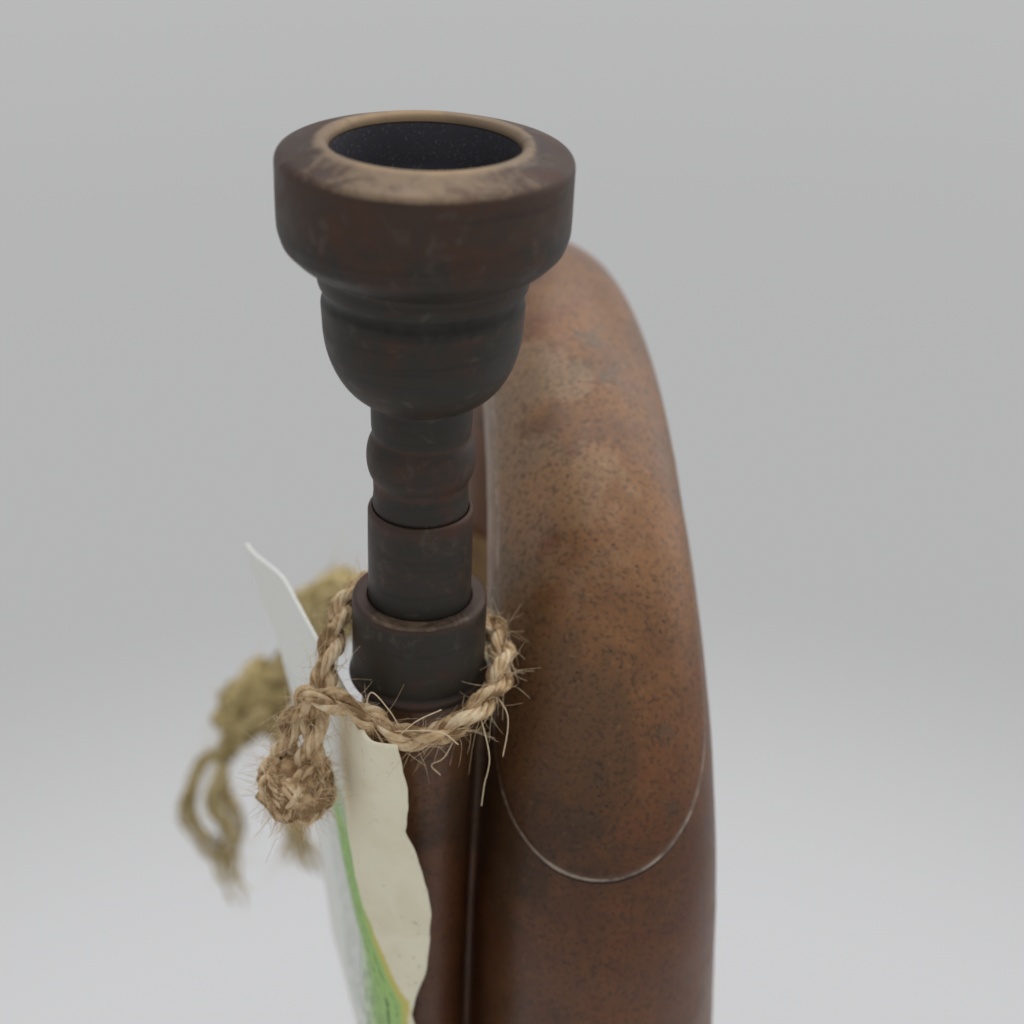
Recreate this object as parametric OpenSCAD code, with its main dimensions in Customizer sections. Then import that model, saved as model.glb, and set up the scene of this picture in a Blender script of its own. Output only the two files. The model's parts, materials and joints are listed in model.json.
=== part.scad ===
// Single-coil copper bugle, standing on its bell.
// Origin: centre of the bell's mouth, on the plane that the rim rests on. +Z runs up the bell's axis,
// +Y from the bell branch to the return tube. Millimetres.

/* [Coil] */
// Height of the upper bow's centre above the rim
bow_z = 326; // [318:1:340]
// Height of the lower bow's centre above the rim
low_bow_z = 142; // [138:1:150]
// Radius of the upper bow, to the middle of its tube
coil_r = 50; // [47:1:54]
// Sideways step of the return tube from the bell's axis
coil_step = 10; // [8:0.2:14]
// Thickness of the sheet that the tubes are rolled from
wall = 0.6; // [0.5:0.1:0.9]

/* [Bell] */
// Diameter of the bell's mouth, to the middle of its rim
bell_d = 124; // [110:1:135]
// Radius of the bell branch where it meets the upper bow
branch_r = 15.6; // [15:0.1:16]
// Growth of the branch's radius for each millimetre down
branch_taper = 0.0297; // [0.02:0.001:0.03]
// Length over which the flare fades up the branch
flare_len = 26; // [20:1:28]
// Radius of the rolled rim
rim_r = 2.2; // [2.1:0.1:2.6]
// Height of the brass garland up the flare
garland_h = 24; // [15:1:32]

/* [Mouthpipe] */
// Sideways place of the receiver collar
pipe_x = -19.4; // [-22:0.1:-19.2]
// Place of the mouthpipe towards the player
pipe_y = -2; // [-4:0.5:-2]
// Height of the receiver collar above the upper bow's centre
collar_rise = 44; // [40:1:48]
// Lean of the mouthpipe away from the bell branch, in degrees
lean = 2.4; // [2.4:0.1:3]
// Radius of the mouthpipe at the collar
pipe_r = 6.05; // [6:0.05:6.2]
// Radius of the sliding tuning shank
shank_r = 5.3; // [5.2:0.05:5.3]

/* [Mouthpiece] */
// Diameter over the rim
rim_d = 26.6; // [25:0.2:28]
// Diameter of the cup's mouth
cup_d = 17; // [16:0.1:17.6]
// Distance that the mouthpiece reaches into the tuning shank
seat_depth = 24; // [18:1:28]

/* [Guard] */
// Half the guard's width, as an angle round the tube
guard_half = 64; // [45:1:68]
// Angle along the bow from its near end to the guard's tip
guard_start = 12.5; // [8:0.5:20]

/* [Tag and cord] */
// Thickness of the jute twine
twine_d = 2.6; // [2:0.1:2.6]
// Height of the paper tag
tag_h = 68; // [50:1:75]
// Thickness of the shoulder cord
cord_d = 4.6; // [4:0.1:5]

/* [Hidden] */
$fn = 96;
gap = 0.03;                               // soldered and sliding fits
far_y = 2 * coil_r;                       // the return tube's axis
seam_z = bow_z - 30;                      // brazed seam between the upper bow and the bell
bow_near_r = 14.4;                        // upper bow where it starts to bend
bow_far_r = 8.6;                          // upper bow where it meets the return tube
return_low_r = 7.7;
pipe_low_r = 6.9;
spigot = 9;                               // straight end of a tube inside a ferrule
far_joint_z = bow_z - 14;
collar_top = bow_z + collar_rise;
pipe_drop = collar_top - low_bow_z;
pipe_low_x = pipe_x - pipe_drop * tan(lean);
pipe_len = pipe_drop / cos(lean);
low_coil_r = (far_y - pipe_y) / 2;
flare_add = bell_d / 2 - branch_r - branch_taper * seam_z;
shank_out = 10.5;                         // tuning shank showing above the collar
shank_in = 34;                            // tuning shank inside the mouthpipe
copper = [0.45, 0.27, 0.17];
dark_brass = [0.27, 0.22, 0.18];
brass = [0.62, 0.48, 0.24];
jute = [0.66, 0.54, 0.36];
olive = [0.50, 0.42, 0.20];
card = [0.86, 0.84, 0.74];

// ---- points along the tubes ----
function unit(v) = v / norm(v);
function arc(cx, cz, rx, rz, from, to, n) =
    [for (i = [0:n]) let (a = from + (to - from) * i / n) [cx + rx * cos(a), cz + rz * sin(a)]];
function hermite(t, a, b, ma, mb) =
    (2*t*t*t - 3*t*t + 1) * a + (t*t*t - 2*t*t + t) * ma + (3*t*t - 2*t*t*t) * b + (t*t*t - t*t) * mb;
// The upper bow rises straight from the bell branch and steps sideways later on. Its taper fades towards the far end.
straight_share = 0.09;
function upper_point(turn) = let (t = max(0, (turn / 180 - straight_share) / (1 - straight_share)))
    [hermite(t, 0, -coil_step, 0, 0), coil_r - coil_r * cos(turn), bow_z + coil_r * sin(turn)];
function upper_r(turn) = bow_far_r + (bow_near_r - bow_far_r) * pow(1 - turn / 180, 2);
// The lower bow leaves the mouthpipe along its lean and comes up straight
function lower_point(turn) =
    [hermite(turn / 180, pipe_low_x, -coil_step, -tan(lean) * low_coil_r * PI, 0),
        pipe_y + low_coil_r - low_coil_r * cos(turn), low_bow_z - low_coil_r * sin(turn)];
bow_steps = 56;
upper_path = concat(
    [for (i = [0:4]) [0, 0, seam_z + (bow_z - seam_z) * i / 5]],
    [for (i = [0:bow_steps]) upper_point(180 * i / bow_steps)],
    [[-coil_step, far_y, far_joint_z + spigot], [-coil_step, far_y, far_joint_z + gap]]);
upper_radii = concat(
    [for (i = [0:4]) branch_r + (bow_near_r - branch_r) * i / 5],
    [for (i = [0:bow_steps]) upper_r(180 * i / bow_steps)],
    [bow_far_r, bow_far_r]);
lean_dir = [sin(lean), 0, cos(lean)];
lower_path = concat(
    [[pipe_low_x, pipe_y, low_bow_z] + (spigot - gap) * lean_dir],
    [for (i = [0:30]) lower_point(6 * i)],
    [[-coil_step, far_y, low_bow_z + spigot - gap]]);
lower_radii = concat([pipe_low_r],
    [for (i = [0:30]) pipe_low_r + (return_low_r - pipe_low_r) * i / 30],
    [return_low_r]);
function tangent(p, i) = unit(p[min(i + 1, len(p) - 1)] - p[max(i - 1, 0)]);
function side(t) = unit([1, 0, 0] - t.x * t);
function ring(p, i, r, n) = let (t = tangent(p, i), s = side(t), u = cross(t, s))
    [for (k = [0:n - 1]) p[i] + r * (cos(360 * k / n) * s + sin(360 * k / n) * u)];

// A hollow tube along a path, with a radius for each point
module tube(path, radii, n) {
    m = len(path);
    points = [for (skin = [0, 1]) for (i = [0:m - 1]) each ring(path, i, radii[i] - skin * wall, n)];
    function at(skin, i, k) = (skin * m + i) * n + k % n;
    faces = concat(
        [for (i = [0:m - 2]) for (k = [0:n - 1]) each [
            [at(0, i, k), at(0, i + 1, k), at(0, i + 1, k + 1)],
            [at(0, i, k), at(0, i + 1, k + 1), at(0, i, k + 1)],
            [at(1, i, k), at(1, i + 1, k + 1), at(1, i + 1, k)],
            [at(1, i, k), at(1, i, k + 1), at(1, i + 1, k + 1)]]],
        [for (k = [0:n - 1]) each [
            [at(0, 0, k), at(0, 0, k + 1), at(1, 0, k + 1)],
            [at(0, 0, k), at(1, 0, k + 1), at(1, 0, k)],
            [at(0, m - 1, k), at(1, m - 1, k + 1), at(0, m - 1, k + 1)],
            [at(0, m - 1, k), at(1, m - 1, k), at(1, m - 1, k + 1)]]]);
    polyhedron(points, faces, convexity = 6);
}

// ---- bell ----
function bell_r(z) = branch_r + branch_taper * (seam_z - z) + flare_add * exp(-z / flare_len);
function bell_slope(z) = branch_taper + flare_add / flare_len * exp(-z / flare_len);
function bell_inner(z) = bell_r(z) - wall * sqrt(1 + pow(bell_slope(z), 2));
rim_z = rim_r - 0.2;                      // the rim's foot is worn flat
rim_mid = bell_r(rim_z);
bell_zs = [for (i = [0:32]) rim_z + (seam_z - rim_z) * pow(i / 32, 1.8)];

module bell() {
    color(copper) {
        rotate_extrude() difference() {
            union() {
                polygon(concat([for (z = bell_zs) [bell_r(z), z]],
                    [for (i = [32:-1:0]) [bell_inner(bell_zs[i]), bell_zs[i]]]));
                translate([rim_mid, rim_z]) circle(rim_r);
            }
            translate([rim_mid, rim_z]) circle(rim_r - wall);
            translate([0, -2 * rim_r]) square([bell_d, 2 * rim_r]);
        }
    }
}

module rim_wire() {
    color(brass) rotate_extrude() translate([rim_mid, rim_z]) circle(rim_r - wall - gap);
}

garland_z = rim_z + rim_r + 0.4;
garland_t = 0.5;
module bell_garland() {
    zs = [for (i = [0:12]) garland_z + garland_h * i / 12];
    lift = 0.15;                          // the sheet stands this far off the flare
    function skin(z, t) = bell_r(z) + (lift + t) * sqrt(1 + pow(bell_slope(z), 2));
    color(brass) rotate_extrude() {
        polygon(concat([for (z = zs) [skin(z, garland_t), z]],
            [for (i = [12:-1:0]) [skin(zs[i], 0), zs[i]]]));
        translate([skin(zs[12], 1.0), zs[12]]) circle(0.9);
    }
}

// ---- upper bow and its guard ----
module upper_bow() {
    color(copper) tube(upper_path, upper_radii, 48);
}

// The guard hugs the outside of the bow. Its middle drifts to the bell's side as the bow steps across.
guard_end = 168;
guard_cap = 18;                           // length of each rounded end, as an angle along the bow
guard_t = 0.6;
guard_turn = 7;                           // how far the guard's middle drifts round the tube
guard_rows = 64;
guard_cols = 28;
function guard_at(i) = guard_start + (guard_end - guard_start) * (1 - cos(180 * i / guard_rows)) / 2;
function cap_share(d) = d >= guard_cap ? 1 : sqrt(1 - pow(1 - d / guard_cap, 2));
function guard_width(a) = max(6, guard_half * min(cap_share(a - guard_start), cap_share(guard_end - a)));
function guard_mid(a) = guard_turn * min(1, (a - 30) / 60);
function guard_point(a, share, lift) =
    let (c = upper_point(a), t = unit(upper_point(a + 0.5) - upper_point(a - 0.5)), s = side(t), u = cross(t, s),
        b = guard_mid(a) + share * guard_width(a))
    c + (upper_r(a) + lift) * (sin(b) * s + cos(b) * -u);

module bow_guard() {
    n = guard_cols + 1;
    m = guard_rows + 1;
    points = [for (skin = [0, 1]) for (i = [0:guard_rows]) for (k = [0:guard_cols])
        guard_point(guard_at(i), 2 * k / guard_cols - 1, skin ? 0.08 : guard_t)];
    function at(skin, i, k) = (skin * m + i) * n + k;
    grid = [for (i = [0:m - 2]) for (k = [0:n - 2]) each [
        [at(0, i, k), at(0, i + 1, k + 1), at(0, i + 1, k)], [at(0, i, k), at(0, i, k + 1), at(0, i + 1, k + 1)],
        [at(1, i, k), at(1, i + 1, k), at(1, i + 1, k + 1)], [at(1, i, k), at(1, i + 1, k + 1), at(1, i, k + 1)]]];
    sides = [for (i = [0:m - 2]) each [
        [at(0, i, 0), at(0, i + 1, 0), at(1, i + 1, 0)], [at(0, i, 0), at(1, i + 1, 0), at(1, i, 0)],
        [at(0, i, n - 1), at(1, i + 1, n - 1), at(0, i + 1, n - 1)],
        [at(0, i, n - 1), at(1, i, n - 1), at(1, i + 1, n - 1)]]];
    ends = [for (k = [0:n - 2]) each [
        [at(0, 0, k), at(1, 0, k + 1), at(0, 0, k + 1)], [at(0, 0, k), at(1, 0, k), at(1, 0, k + 1)],
        [at(0, m - 1, k), at(0, m - 1, k + 1), at(1, m - 1, k + 1)],
        [at(0, m - 1, k), at(1, m - 1, k + 1), at(1, m - 1, k)]]];
    color(copper) polyhedron(points, concat(grid, sides, ends), convexity = 4);
}

// ---- return tube and lower bow ----
module return_tube() {
    h = far_joint_z - low_bow_z - spigot;
    color(copper) translate([-coil_step, far_y, low_bow_z + spigot]) difference() {
        union() {
            cylinder(h = spigot, r = return_low_r);
            translate([0, 0, spigot]) cylinder(h = h - 2 * spigot, r1 = return_low_r, r2 = bow_far_r);
            translate([0, 0, h - spigot]) cylinder(h = spigot, r = bow_far_r);
        }
        translate([0, 0, -1]) cylinder(h = spigot + 1, r = return_low_r - wall);
        translate([0, 0, spigot]) cylinder(h = h - 2 * spigot, r1 = return_low_r - wall, r2 = bow_far_r - wall);
        translate([0, 0, h - spigot]) cylinder(h = spigot + 1, r = bow_far_r - wall);
    }
}

module lower_bow() {
    color(copper) tube(lower_path, lower_radii, 32);
}

// A sleeve with a bead at each end, centred on a joint
module ferrule(r, half) {
    t = 0.7;
    color(brass) rotate_extrude() difference() {
        union() {
            translate([r, -half]) square([gap + t, 2 * half]);
            for (z = [-half + 0.9, half - 0.9]) translate([r + gap + t - 0.2, z]) circle(0.6);
        }
        translate([0, -half - 1]) square([r + gap, 2 * half + 2]);
    }
}

module upper_bow_ferrule() {
    translate([-coil_step, far_y, far_joint_z]) ferrule(bow_far_r, spigot - 1);
}

module lower_bow_ferrule() {
    translate([-coil_step, far_y, low_bow_z + spigot]) ferrule(return_low_r, spigot - 1);
}

// ---- mouthpipe, drawn up its own leaning axis, with zero at the collar's top ----
module on_pipe() {
    translate([pipe_x, pipe_y, collar_top]) rotate([0, lean, 0]) children();
}
lip = 1.2;                                // part of the collar above the end of the mouthpipe
slide_len = 60;                           // straight length of the mouthpipe below the collar
pipe_bottom = -(pipe_len - spigot);

module mouthpipe() {
    taper_h = -slide_len - spigot - pipe_bottom;
    color(copper) on_pipe() difference() {
        union() {
            translate([0, 0, -slide_len]) cylinder(h = slide_len - lip - gap, r = pipe_r);
            translate([0, 0, pipe_bottom + spigot]) cylinder(h = taper_h, r1 = pipe_low_r, r2 = pipe_r);
            translate([0, 0, pipe_bottom]) cylinder(h = spigot, r = pipe_low_r);
        }
        translate([0, 0, -slide_len]) cylinder(h = slide_len, r = shank_r + gap);
        translate([0, 0, pipe_bottom + spigot])
            cylinder(h = taper_h, r1 = pipe_low_r - wall, r2 = shank_r + gap);
        translate([0, 0, pipe_bottom - 1]) cylinder(h = spigot + 1, r = pipe_low_r - wall);
    }
}

module mouthpipe_ferrule() {
    on_pipe() translate([0, 0, pipe_bottom]) ferrule(pipe_low_r, spigot - 1);
}

collar_r = 7;
collar_len = 10.3;
module receiver_collar() {
    color(dark_brass) on_pipe() rotate_extrude() polygon(concat(
        [[pipe_r + gap, -lip], [shank_r + gap, -lip], [shank_r + gap, 0]],
        arc(collar_r - 0.5, -0.5, 0.5, 0.5, 90, 0, 4),
        [[collar_r, -collar_len + 1.4]],
        arc(collar_r - 0.1, -collar_len + 0.6, 0.5, 0.6, 60, -90, 6),
        [[pipe_r + gap, -collar_len]]));
}

seat_top_r = 4.75;                        // tapered seat that the mouthpiece wedges into
seat_low_r = 4.15;
module tuning_shank() {
    h = shank_out + shank_in;
    color(dark_brass) on_pipe() translate([0, 0, -shank_in]) difference() {
        union() {
            cylinder(h = h - 0.3, r = shank_r);
            translate([0, 0, h - 0.3]) cylinder(h = 0.3, r1 = shank_r, r2 = shank_r - 0.25);
        }
        translate([0, 0, h - seat_depth]) cylinder(h = seat_depth + 1, r1 = seat_low_r + gap,
            r2 = seat_top_r + gap + (seat_top_r - seat_low_r) / seat_depth);
        translate([0, 0, -1]) cylinder(h = h, r = seat_low_r - 0.1);
    }
}

// ---- mouthpiece: turned cup, neck, bead and shank. Zero is its seat on the tuning shank ----
piece_h = 36.85;                          // from the seat to the crest of the rim
cup_depth = 12.5;
throat_r = 2.1;
outer_profile = concat(
    [[seat_low_r - 0.25, 1 - seat_depth], [seat_low_r, 1.4 - seat_depth], [seat_top_r, 0]],
    [[4.85, 0.3], [4.72, 1.5]],
    arc(4.2, 5.6, 1.2, 2.7, -62, 62, 8),  // bead
    [[4.9, 8.8], [4.95, 11.3]],
    arc(4, 20, 5.4, 8.2, -79, 0, 10),     // bowl of the cup
    [[9.5, 21.8], [9.25, 22.5], [9.3, 23], [9.7, 23.6], [9.85, 24.5], [9.95, 25.4]],
    [for (p = [[1.6, 26.4], [0.45, 27.6], [0.05, 29], [0, 30.6]]) [rim_d / 2 - p.x, p.y]],
    arc(rim_d / 2 - 1, piece_h - 1.9, 1, 1, 0, 75, 6));
inner_profile = concat(
    arc(cup_d / 2 + 0.7, piece_h - 0.7, 0.7, 0.7, 75, 180, 6),
    arc(0, piece_h - 4, cup_d / 2 - 0.2, cup_depth - 4.4, 0, -70, 9),
    [[throat_r, piece_h - cup_depth - 1], [throat_r, piece_h - cup_depth - 5],
        [seat_low_r - 0.8, 1 - seat_depth]]);

module mouthpiece() {
    color(dark_brass) on_pipe() translate([0, 0, shank_out])
        rotate_extrude() polygon(concat(outer_profile, inner_profile));
}

// ---- stays between the bell branch and the return tube ----
stay_turn = atan2(far_y, -coil_step);
stay_span = norm([far_y, coil_step]);
upper_stay_z = 264;
lower_stay_z = 172;
foot_r = 6;
foot_t = 1.4;
function return_r(z) = return_low_r + (bow_far_r - return_low_r)
    * (z - low_bow_z - 2 * spigot) / (far_joint_z - low_bow_z - 3 * spigot);
module at_stay(z) {
    translate([0, 0, z]) rotate([0, 0, stay_turn]) children();
}

module stay_rod(z) {
    from = bell_r(z) + foot_t + gap;
    to = stay_span - return_r(z) - foot_t - gap;
    mid = (from + to) / 2;
    color(brass) at_stay(z) translate([mid, 0, 0]) rotate([0, 90, 0]) {
        translate([0, 0, -(to - from) / 2]) cylinder(h = to - from, r = 1.9);
        for (d = [-7, 0, 7]) translate([0, 0, d]) rotate_extrude() {
            square([d == 0 ? 3 : 1.9, 1.5], center = false);
            translate([d == 0 ? 2.4 : 1.6, 0.75]) circle(0.9);
        }
    }
}

module stay_cut(x, low_r, top_r) {
    h = 2 * foot_r + 2;
    translate([x, 0, -h / 2]) cylinder(h = h, r1 = low_r + gap, r2 = top_r + gap, $fn = 180);
}

module stay_feet(z) {
    color(brass) at_stay(z) {
        difference() {
            translate([bell_r(z) - 2, 0, 0]) rotate([0, 90, 0]) cylinder(h = foot_t + 2, r = foot_r);
            stay_cut(0, bell_r(z - foot_r - 1), bell_r(z + foot_r + 1));
        }
        difference() {
            translate([stay_span - return_r(z) - foot_t, 0, 0]) rotate([0, 90, 0])
                cylinder(h = foot_t + 2, r = foot_r);
            stay_cut(stay_span, return_r(z - foot_r - 1), return_r(z + foot_r + 1));
        }
    }
}

// Small solder saddles in the valley between the mouthpipe and the bell branch
module mouthpipe_saddles() {
    h = 8;
    color(brass) for (z = [190, 240]) {
        x = pipe_x - (collar_top - z) * tan(lean);
        turn = atan2(pipe_y, x);
        difference() {
            translate([0, 0, z]) rotate([0, 0, turn]) translate([bell_r(z) - 3, -3, 0]) cube([7, 6, h]);
            translate([0, 0, z - 1]) cylinder(h = h + 2, r1 = bell_r(z - 1) + gap, r2 = bell_r(z + h + 1) + gap);
            on_pipe() translate([0, 0, pipe_bottom + spigot])
                cylinder(h = -slide_len - spigot - pipe_bottom, r1 = pipe_low_r + gap, r2 = pipe_r + gap);
        }
    }
}

// ---- cord rings on the return tube ----
eye_r = 3.0;
eye_wire = 0.9;
ring_r = 8;
ring_wire = 0.9;
plate_t = 0.5;
upper_eye_z = 238;
lower_eye_z = 184;
module at_eye(z) {
    translate([-coil_step - return_r(z + 7) - gap, far_y, z]) children();
}

module ring_eye(z) {
    color(brass) at_eye(z) {
        translate([-plate_t, 0, 0]) rotate([90, 0, 0]) rotate([0, 0, 90])
            rotate_extrude(angle = 180) translate([eye_r, 0]) circle(eye_wire);
        difference() {
            translate([-plate_t, -3, -6]) cube([plate_t + 1.2, 6, 12]);
            translate([return_r(z + 7) + gap, 0, -8]) cylinder(h = 16, r = return_r(z + 7) + gap);
        }
    }
}

ring_off = plate_t + ring_wire + 0.16;    // the ring's top wire, off the tube
module cord_ring(z) {
    color(brass) at_eye(z) translate([-ring_off, 0, -ring_r]) rotate([0, 90, 0])
        rotate_extrude() translate([ring_r, 0]) circle(ring_wire);
}

// ---- shoulder cord: wound on the return tube, knotted, looped, and frayed at both ends ----
cord_y = far_y - 2;
wraps_z = bow_z - 33.5;
knot_at = [-42.4, cord_y, bow_z - 25];
bight_at = knot_at + [-17.5, 0, -20.6];
long_pivot = bight_at + [-7, 0, -15.7];
short_pivot = bight_at + [5.2, 0, -10];
module cord_wraps() {
    r = return_r(wraps_z) + gap + cord_d / 2 + 0.1;
    color(olive) for (i = [-1.5:1:1.5]) translate([-coil_step, far_y, wraps_z + i * (cord_d + 0.1)])
        rotate_extrude() translate([r, 0]) circle(cord_d / 2);
}

// A soft lump between two points, from a point to an offset from it
module lump(from, to, r) {
    color(olive) hull() {
        translate(from) sphere(r, $fn = 24);
        translate(from + to) sphere(r, $fn = 24);
    }
}

module cord_knot() {
    from = [-coil_step - 18.2, cord_y, wraps_z + 5];
    lump(from, knot_at + [1, 0, 1.5] - from, 4.6);
    lump(knot_at + [2.6, 0, 3], [-7.2, 0, -8.2], 6.2);
}

module cord_bight() {
    lump(bight_at + [5, 0, 6], [-9, 0, -13], 5.6);
}

// A bundle of loose strands that hangs from a round head at its pivot
module fringe(h, r) {
    head = 3.4;
    color(olive) rotate_extrude() polygon(concat([[0, head]], arc(0, 0, head, head, 80, 0, 6),
        [[r, -h * 0.4], [r * 0.8, -h * 0.7], [1.2, -h], [0, -h]]));
}

module long_fringe() {
    translate(long_pivot) rotate([0, 6, 0]) fringe(42, 6);
}

module short_fringe() {
    translate(short_pivot) rotate([0, -4, 0]) fringe(34, 4);
}

// ---- jute twine and paper tag, round the mouthpipe under the collar ----
loop_z = -9.5;                            // middle of the loop, which is higher at the back
loop_r = 9.1;
loop_tilt = 12;
hole_z = -13.5;                           // tag's hole
tag_r = 10.6;                             // radius that the tag curls to round the pipe
tag_t = 0.4;
tag_turn = 95;                            // how far its curl reaches round the pipe
tag_back = 26;                            // flat part of the tag, behind its curl
strand_r = 1.2;
ball_at = [-12.8, -9.2, -22];
module twine_loop() {
    color(jute) on_pipe() translate([0, 0, loop_z]) rotate([loop_tilt, 0, 0]) rotate([0, 0, 100])
        rotate_extrude(angle = 210) translate([loop_r, 0]) circle(twine_d / 2);
}

module twine_knot() {
    color(jute) on_pipe() {
        translate([-17, 0, hole_z]) rotate([0, 90, 0]) cylinder(h = 17 - loop_r - twine_d / 2, r = strand_r);
        hull() {
            translate([-15.6, -2, hole_z]) sphere(2.2, $fn = 24);
            translate([-16.4, -7, hole_z - 4]) sphere(2.2, $fn = 24);
        }
        hull() {
            translate(ball_at) sphere(3.9, $fn = 24);
            translate(ball_at + [-3.4, 0.6, 0.6]) sphere(3.9, $fn = 24);
        }
    }
}

module price_tag() {
    color(card) on_pipe() translate([0, 0, hole_z + 4 - tag_h]) difference() {
        union() {
            rotate([0, 0, 180]) rotate_extrude(angle = tag_turn)
                translate([tag_r, 0]) square([tag_t, tag_h]);
            translate([-tag_r - tag_t, 0, 0]) cube([tag_t, tag_back, tag_h]);
        }
        translate([-tag_r - 2, 0, tag_h - 4]) rotate([0, 90, 0]) cylinder(h = 4, r = 1.6);
    }
}

mouthpiece();
tuning_shank();
receiver_collar();
mouthpipe();
mouthpipe_ferrule();
lower_bow();
lower_bow_ferrule();
return_tube();
upper_bow_ferrule();
upper_bow();
bow_guard();
bell();
bell_garland();
rim_wire();
stay_rod(upper_stay_z);  // upper_stay_rod
stay_feet(upper_stay_z);  // upper_stay_feet
stay_rod(lower_stay_z);  // lower_stay_rod
stay_feet(lower_stay_z);  // lower_stay_feet
mouthpipe_saddles();
ring_eye(upper_eye_z);  // upper_ring_eye
cord_ring(upper_eye_z);  // upper_cord_ring
ring_eye(lower_eye_z);  // lower_ring_eye
cord_ring(lower_eye_z);  // lower_cord_ring
cord_wraps();
cord_knot();
cord_bight();
long_fringe();
short_fringe();
twine_loop();
twine_knot();
price_tag();
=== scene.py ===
"""The looks of an old copper bugle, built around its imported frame.

Lengths are in millimetres up to the point where a mesh is made. The frame's +Z runs up the bell, +Y goes from
the bell branch to the return tube, and z is 0 where the rim rests.
"""
import json
import math
import random

import bmesh
import bpy
import numpy as np
from mathutils import Matrix, Vector, noise


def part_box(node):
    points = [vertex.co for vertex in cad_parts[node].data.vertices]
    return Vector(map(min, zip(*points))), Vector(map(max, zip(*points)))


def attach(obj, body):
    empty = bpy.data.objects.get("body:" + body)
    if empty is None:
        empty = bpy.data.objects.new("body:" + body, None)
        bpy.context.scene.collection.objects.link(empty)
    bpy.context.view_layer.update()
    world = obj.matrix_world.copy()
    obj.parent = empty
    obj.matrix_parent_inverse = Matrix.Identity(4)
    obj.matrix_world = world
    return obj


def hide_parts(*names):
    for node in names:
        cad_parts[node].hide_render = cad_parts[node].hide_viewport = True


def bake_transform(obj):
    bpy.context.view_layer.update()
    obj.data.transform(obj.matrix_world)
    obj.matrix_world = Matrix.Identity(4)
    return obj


MM = 0.001
TURN = 2 * math.pi
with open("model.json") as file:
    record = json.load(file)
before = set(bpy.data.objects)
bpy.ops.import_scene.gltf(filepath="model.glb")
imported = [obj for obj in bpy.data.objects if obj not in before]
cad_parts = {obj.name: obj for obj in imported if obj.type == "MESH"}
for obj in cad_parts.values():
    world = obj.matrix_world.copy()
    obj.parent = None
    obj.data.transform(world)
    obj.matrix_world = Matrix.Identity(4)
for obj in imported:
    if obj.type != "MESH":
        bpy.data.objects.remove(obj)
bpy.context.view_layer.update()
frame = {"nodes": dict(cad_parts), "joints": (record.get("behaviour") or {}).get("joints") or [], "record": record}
joints = {j["name"]: j for j in frame["joints"]}


def box_mm(node):
    """Lowest and highest corner of a CAD node, in millimetres."""
    low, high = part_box(node)
    return np.array(low) / MM, np.array(high) / MM


def middle_of(node):
    return sum(box_mm(node)) / 2


# ---- places worked out from the frame
LOOP_BELOW_COLLAR = 9.5
PIPE_UP = np.array(joints["tuning_slide"]["axis"])
PIPE_SIDE = np.array([PIPE_UP[2], 0.0, -PIPE_UP[0]])
PIPE_BACK = np.array([0.0, 1.0, 0.0])
COLLAR_TOP = np.array(joints["twine_swivel"]["pos_m"]) / MM + LOOP_BELOW_COLLAR * PIPE_UP

return_low, return_high = box_mm("return_tube")
FAR_X, FAR_Y = middle_of("return_tube")[:2]
COIL_R = FAR_Y / 2
BOW_NEAR_R = 14.4
BOW_FAR_R = (return_high[0] - return_low[0]) / 2
COLLAR_ABOVE_BOW = 44
BOW_Z = COLLAR_TOP[2] - COLLAR_ABOVE_BOW
BELL_SEAM_Z = box_mm("bell")[1][2]
BRANCH_R = box_mm("upper_bow")[1][0]
SHEET = 0.6
SLEEVE = 9
RETURN_LOW_R = 7.7
PIPE_R, PIPE_LOW_R = 6.05, 6.9
LOW_BOW_Z = return_low[2] - SLEEVE
SHANK_OUT = 10.5
BELL_TAPER, FLARE_LENGTH, MOUTH_R, RIM_R = 0.0297, 26, 62, 2.2
FLARE_ADD = MOUTH_R - BRANCH_R - BELL_TAPER * BELL_SEAM_Z
RIM_Z = RIM_R - 0.2
SEAM_LOW_Z, SEAM_HIGH_Z = 186, BOW_Z + 26
# The guard's ends, rounded ends and half width, in degrees along and round the bow; its sheet is 0.6 thick
GUARD_START, GUARD_END, GUARD_CAP, GUARD_HALF, GUARD_DRIFT, GUARD_THICK = 12.5, 168, 18, 64, 7, 0.6
CAMERA_X, CAMERA_Y, CAMERA_ABOVE_COLLAR, CAMERA_LENS = -9.85, -132.2, 84.7, 52.73


def on_pipe(points):
    """Points measured from the middle of the collar's top, along the leaning mouthpipe, put in the frame."""
    p = np.asarray(points, float)
    return COLLAR_TOP + p[..., :1] * PIPE_SIDE + p[..., 1:2] * PIPE_BACK + p[..., 2:3] * PIPE_UP


# ---- mesh tools
def unit(v):
    return v / np.maximum(np.linalg.norm(v, axis=-1, keepdims=True), 1e-9)


def angles(count):
    """Even angles once round, in radians."""
    return np.linspace(0, TURN, count, endpoint=False)


def lengths(path):
    """Distance along a path to each of its points."""
    return np.concatenate([[0], np.cumsum(np.linalg.norm(np.diff(path, axis=0), axis=1))])


def swell(rows, amount):
    """Moves points straight out from the Z axis."""
    return rows + unit(rows * [1, 1, 0]) * amount[..., None]


def smooth(t):
    t = np.clip(t, 0, 1)
    return t * t * (3 - 2 * t)


def noise_at(points, size, seed=0):
    """Smooth noise from -1 to 1 at each point, with bumps about size across."""
    flat = np.asarray(points, float).reshape(-1, 3) / size + seed * 17.3
    values = [noise.noise(Vector(p)) for p in flat]
    return np.array(values).reshape(np.shape(points)[:-1])


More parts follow.
